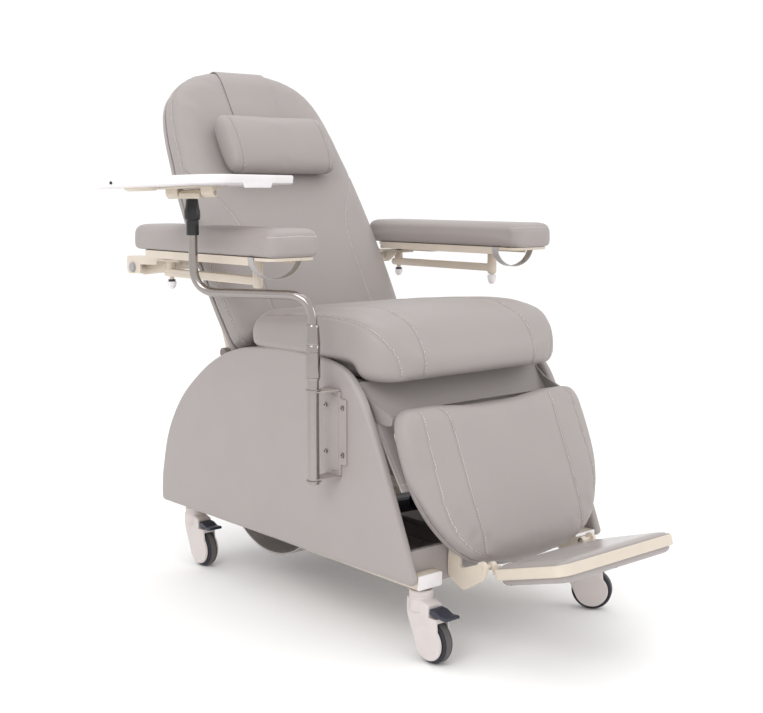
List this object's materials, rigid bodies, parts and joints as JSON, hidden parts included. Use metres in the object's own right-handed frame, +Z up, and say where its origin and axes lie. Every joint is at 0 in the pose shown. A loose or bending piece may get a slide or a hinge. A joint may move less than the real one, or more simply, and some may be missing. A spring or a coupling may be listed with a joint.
{
  "type": "patient recliner chair",
  "caption": "Rolling padded treatment recliner with self-levelling armrests, lifting leg rest, folding footrest, headrest pillow and swing-out tray.",
  "frame": {"origin": "on the floor, under the middle of the whole chair's bounding box", "axes": "+Z up, the sitter faces -Y, the sitter's right side and the tray are at -X"},
  "size_m": [1.2064, 1.5115, 1.3818],
  "materials": {
    "upholstery": "soft matt vinyl",
    "panel_vinyl": "matt vinyl over board",
    "cream_metal": "satin powder coat",
    "polished_steel": "polished",
    "black_plastic": "satin",
    "white_plastic": "semi-gloss",
    "caster_plastic": "satin",
    "tyre": "matt rubber"
  },
  "bodies": {
    "base": {"frame_right": "cream_metal", "frame_left": "cream_metal", "crossbar_front": "cream_metal", "crossbar_rear": "cream_metal", "side_panel_right": "panel_vinyl", "side_panel_left": "panel_vinyl", "kick_board": "panel_vinyl", "rear_board": "panel_vinyl", "belly_pan": "panel_vinyl", "seat_pan": "cream_metal", "seat_cushion": "upholstery", "apron": "panel_vinyl", "control_box": "black_plastic", "back_actuator": "black_plastic", "tray_bracket": "cream_metal"},
    "back": {"back_frame": "cream_metal", "back_cushion": "upholstery", "pillow_strap": "upholstery"},
    "headrest": {"pillow": "upholstery"},
    "arm_carrier": {"arm_tube": "cream_metal", "arm_bracket_R": "cream_metal", "arm_bracket_L": "cream_metal"},
    "arm_R": {"arm_plate_R": "cream_metal", "arm_bar_R": "polished_steel", "arm_pad_R": "upholstery", "arm_strap_R": "upholstery"},
    "arm_L": {"arm_plate_L": "cream_metal", "arm_bar_L": "polished_steel", "arm_pad_L": "upholstery", "arm_strap_L": "upholstery"},
    "lever_R": {"release_lever_R": "cream_metal"},
    "lever_L": {"release_lever_L": "cream_metal"},
    "pull_R": {"rear_knob_R": "white_plastic"},
    "pull_L": {"rear_knob_L": "white_plastic"},
    "link": {"rear_link": "cream_metal"},
    "recline_rod": {"back_rod": "polished_steel"},
    "leg": {"legrest_frame": "cream_metal", "legrest_cushion": "upholstery"},
    "foot": {"footrest_frame": "cream_metal", "footrest_pad": "upholstery"},
    "lift_motor": {"leg_actuator": "black_plastic"},
    "lift_rod": {"leg_rod": "polished_steel"},
    "tray_arm": {"tray_collar": "polished_steel"},
    "tray_post": {"tray_tube": "polished_steel"},
    "tray_grip": {"tray_knob": "black_plastic"},
    "tray_head": {"tray_clamp": "cream_metal"},
    "tray": {"tray_mount": "cream_metal", "tray_top": "white_plastic"},
    "caster_FR": {"caster_housing_FR": "caster_plastic"},
    "wheel_FR": {"caster_wheel_FR": "tyre"},
    "pedal_FR": {"caster_pedal_FR": "black_plastic"},
    "caster_FL": {"caster_housing_FL": "caster_plastic"},
    "wheel_FL": {"caster_wheel_FL": "tyre"},
    "pedal_FL": {"caster_pedal_FL": "black_plastic"},
    "caster_RR": {"caster_housing_RR": "caster_plastic"},
    "wheel_RR": {"caster_wheel_RR": "tyre"},
    "pedal_RR": {"caster_pedal_RR": "black_plastic"},
    "caster_RL": {"caster_housing_RL": "caster_plastic"},
    "wheel_RL": {"caster_wheel_RL": "tyre"},
    "pedal_RL": {"caster_pedal_RL": "black_plastic"}
  },
  "joints": [
    {"name": "back_recline", "type": "hinge", "parent": "base", "child": "back", "pos_m": [0.1412, 0.3563, 0.599], "axis": [-1, 0, 0], "range_deg": [0, 50]},
    {"name": "pillow_height", "type": "slide", "parent": "back", "child": "headrest", "axis": [0, 0.515, 0.8572], "range_m": [-0.1, 0.05]},
    {"name": "arm_level", "type": "hinge", "parent": "back", "child": "arm_carrier", "pos_m": [0.1412, 0.4519, 0.8409], "axis": [-1, 0, 0], "range_deg": [-50, 0]},
    {"name": "rear_link_turn", "type": "hinge", "parent": "base", "child": "link", "pos_m": [-0.0088, 0.5127, 0.5851], "axis": [-1, 0, 0], "range_deg": [0, 50]},
    {"name": "back_rod_slide", "type": "slide", "parent": "base", "child": "recline_rod", "axis": [0, -0.9994, -0.0359], "range_m": [0, 0.1065]},
    {"name": "arm_swivel_R", "type": "hinge", "parent": "arm_carrier", "child": "arm_R", "pos_m": [-0.2478, 0.4173, 0.866], "axis": [0, 0, -1], "range_deg": [-27, 8]},
    {"name": "release_lever_turn_R", "type": "hinge", "parent": "arm_carrier", "child": "lever_R", "pos_m": [-0.2438, 0.3753, 0.858], "axis": [0, 0, -1], "range_deg": [-6, 6]},
    {"name": "rear_knob_pull_R", "type": "slide", "parent": "arm_R", "child": "pull_R", "axis": [0, 0, -1], "range_m": [0, 0.008], "stiffness_N_per_m": 300, "springref_m": -0.01},
    {"name": "arm_swivel_L", "type": "hinge", "parent": "arm_carrier", "child": "arm_L", "pos_m": [0.5302, 0.4173, 0.866], "axis": [0, 0, 1], "range_deg": [-27, 90]},
    {"name": "release_lever_turn_L", "type": "hinge", "parent": "arm_carrier", "child": "lever_L", "pos_m": [0.5262, 0.3753, 0.858], "axis": [0, 0, 1], "range_deg": [-6, 6]},
    {"name": "rear_knob_pull_L", "type": "slide", "parent": "arm_L", "child": "pull_L", "axis": [0, 0, -1], "range_m": [0, 0.008], "stiffness_N_per_m": 300, "springref_m": -0.01},
    {"name": "legrest_lift", "type": "hinge", "parent": "base", "child": "leg", "pos_m": [0.1412, -0.3237, 0.528], "axis": [-1, 0, 0], "range_deg": [0, 65]},
    {"name": "leg_actuator_swing", "type": "hinge", "parent": "base", "child": "lift_motor", "pos_m": [0.1412, 0.0083, 0.222], "axis": [-1, 0, 0], "range_deg": [0, 9.9]},
    {"name": "leg_rod_slide", "type": "slide", "parent": "lift_motor", "child": "lift_rod", "axis": [0, -0.9531, 0.3028], "range_m": [0, 0.189]},
    {"name": "footrest_fold", "type": "hinge", "parent": "leg", "child": "foot", "pos_m": [0.1412, -0.5117, 0.215], "axis": [-1, 0, 0], "range_deg": [-15, 70]},
    {"name": "tray_swivel", "type": "hinge", "parent": "base", "child": "tray_arm", "pos_m": [-0.2388, -0.1687, 0.71], "axis": [0, 0, 1], "range_deg": [0, 235]},
    {"name": "tray_height", "type": "slide", "parent": "tray_arm", "child": "tray_post", "axis": [0, 0, 1], "range_m": [0, 0.03]},
    {"name": "tray_knob_twist", "type": "hinge", "parent": "tray_post", "child": "tray_grip", "pos_m": [-0.3838, 0.0923, 0.97], "axis": [0, 0, 1], "range_deg": [0, 270]},
    {"name": "tray_turn", "type": "hinge", "parent": "tray_post", "child": "tray_head", "pos_m": [-0.3838, 0.0923, 1.024], "axis": [0, 0, 1], "range_deg": [-170, 170]},
    {"name": "tray_tilt", "type": "hinge", "parent": "tray_head", "child": "tray", "pos_m": [-0.3838, 0.0923, 1.024], "axis": [-0.4302, 0.9019, -0.0401], "range_deg": [0, 20]},
    {"name": "caster_swivel_FR", "type": "hinge", "parent": "base", "child": "caster_FR", "pos_m": [-0.1188, -0.3997, 0.14], "axis": [0, 0, 1], "continuous": true},
    {"name": "wheel_spin_FR", "type": "hinge", "parent": "caster_FR", "child": "wheel_FR", "pos_m": [-0.1188, -0.4417, 0.05], "axis": [1, 0, 0], "continuous": true},
    {"name": "pedal_press_FR", "type": "hinge", "parent": "caster_FR", "child": "pedal_FR", "pos_m": [-0.1188, -0.4497, 0.12], "axis": [1, 0, 0], "range_deg": [0, 8], "stiffness_Nm_per_rad": 0.6, "springref_deg": -17.19},
    {"name": "caster_swivel_FL", "type": "hinge", "parent": "base", "child": "caster_FL", "pos_m": [0.4012, -0.3997, 0.14], "axis": [0, 0, 1], "continuous": true},
    {"name": "wheel_spin_FL", "type": "hinge", "parent": "caster_FL", "child": "wheel_FL", "pos_m": [0.42407, -0.43492, 0.05], "axis": [0.8387, 0.5446, 0], "continuous": true},
    {"name": "pedal_press_FL", "type": "hinge", "parent": "caster_FL", "child": "pedal_FL", "pos_m": [0.42843, -0.44163, 0.12], "axis": [0.8387, 0.5446, 0], "range_deg": [0, 8], "stiffness_Nm_per_rad": 0.6, "springref_deg": -17.19},
    {"name": "caster_swivel_RR", "type": "hinge", "parent": "base", "child": "caster_RR", "pos_m": [-0.1188, 0.5363, 0.14], "axis": [0, 0, 1], "continuous": true},
    {"name": "wheel_spin_RR", "type": "hinge", "parent": "caster_RR", "child": "wheel_RR", "pos_m": [-0.1188, 0.4943, 0.05], "axis": [1, 0, 0], "continuous": true},
    {"name": "pedal_press_RR", "type": "hinge", "parent": "caster_RR", "child": "pedal_RR", "pos_m": [-0.1188, 0.4863, 0.12], "axis": [1, 0, 0], "range_deg": [0, 8], "stiffness_Nm_per_rad": 0.6, "springref_deg": -17.19},
    {"name": "caster_swivel_RL", "type": "hinge", "parent": "base", "child": "caster_RL", "pos_m": [0.4012, 0.5363, 0.14], "axis": [0, 0, 1], "continuous": true},
    {"name": "wheel_spin_RL", "type": "hinge", "parent": "caster_RL", "child": "wheel_RL", "pos_m": [0.4012, 0.4943, 0.05], "axis": [1, 0, 0], "continuous": true},
    {"name": "pedal_press_RL", "type": "hinge", "parent": "caster_RL", "child": "pedal_RL", "pos_m": [0.4012, 0.4863, 0.12], "axis": [1, 0, 0], "range_deg": [0, 8], "stiffness_Nm_per_rad": 0.6, "springref_deg": -17.19}
  ],
  "couplings": [
    {"joint": "arm_level", "follows": "back_recline", "ratio": -1},
    {"joint": "rear_link_turn", "follows": "back_recline", "ratio": 1},
    {"joint": "back_rod_slide", "follows": "back_recline", "m_per_rad": 0.12147},
    {"joint": "leg_actuator_swing", "follows": "legrest_lift", "ratio": 0.15123},
    {"joint": "leg_rod_slide", "follows": "legrest_lift", "m_per_rad": 0.16607}
  ]
}
